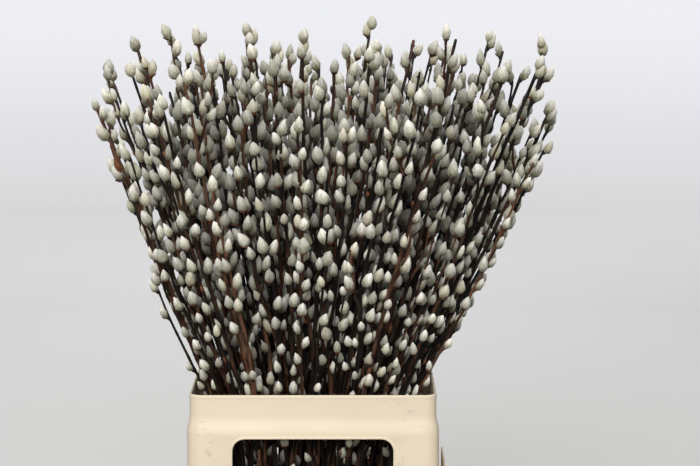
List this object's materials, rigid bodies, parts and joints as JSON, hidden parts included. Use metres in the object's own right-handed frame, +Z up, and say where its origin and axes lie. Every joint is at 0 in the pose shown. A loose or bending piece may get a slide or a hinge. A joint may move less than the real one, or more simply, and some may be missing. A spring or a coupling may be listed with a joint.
{
  "type": "willow branches in a container",
  "caption": "Dense fan of cut pussy willow branches with silky catkins, standing upright in a cream plastic bucket with a windowed collar.",
  "frame": {"origin": "centre of the bucket's flat underside", "axes": "+Z up along the bunch, front of the container towards -Y, letter holder towards +X"},
  "size_m": [0.5353, 0.4651, 0.8049],
  "materials": {
    "bark": "smooth satin bark, dark brown with red-brown stretches",
    "catkin": "silky grey-white hairs",
    "bud_scale": "glossy red-brown scale",
    "bucket": "satin cream plastic",
    "collar": "satin cream plastic, lightly scuffed",
    "letter_holder": "satin cream plastic"
  },
  "bodies": {
    "root": {"bucket": "bucket", "collar": "collar", "letter_holder": "letter_holder", "branch_01": "bark", "branch_02": "bark", "branch_03": "bark", "branch_04": "bark", "branch_05": "bark", "branch_06": "bark", "branch_07": "bark", "branch_08": "bark", "branch_09": "bark", "branch_10": "bark", "branch_11": "bark", "branch_12": "bark", "branch_13": "bark", "branch_14": "bark", "branch_15": "bark", "branch_16": "bark", "branch_17": "bark", "branch_18": "bark", "branch_19": "bark", "branch_20": "bark", "branch_21": "bark", "branch_22": "bark", "branch_23": "bark", "branch_24": "bark", "branch_25": "bark", "branch_26": "bark", "branch_27": "bark", "branch_28": "bark", "branch_29": "bark", "branch_30": "bark", "branch_31": "bark", "branch_32": "bark", "branch_33": "bark", "branch_34": "bark", "branch_35": "bark", "branch_36": "bark", "branch_37": "bark", "branch_38": "bark", "branch_39": "bark", "branch_40": "bark", "branch_41": "bark", "branch_42": "bark", "branch_43": "bark", "branch_44": "bark", "branch_45": "bark", "branch_46": "bark", "branch_47": "bark", "branch_48": "bark"}
  },
  "joints": []
}
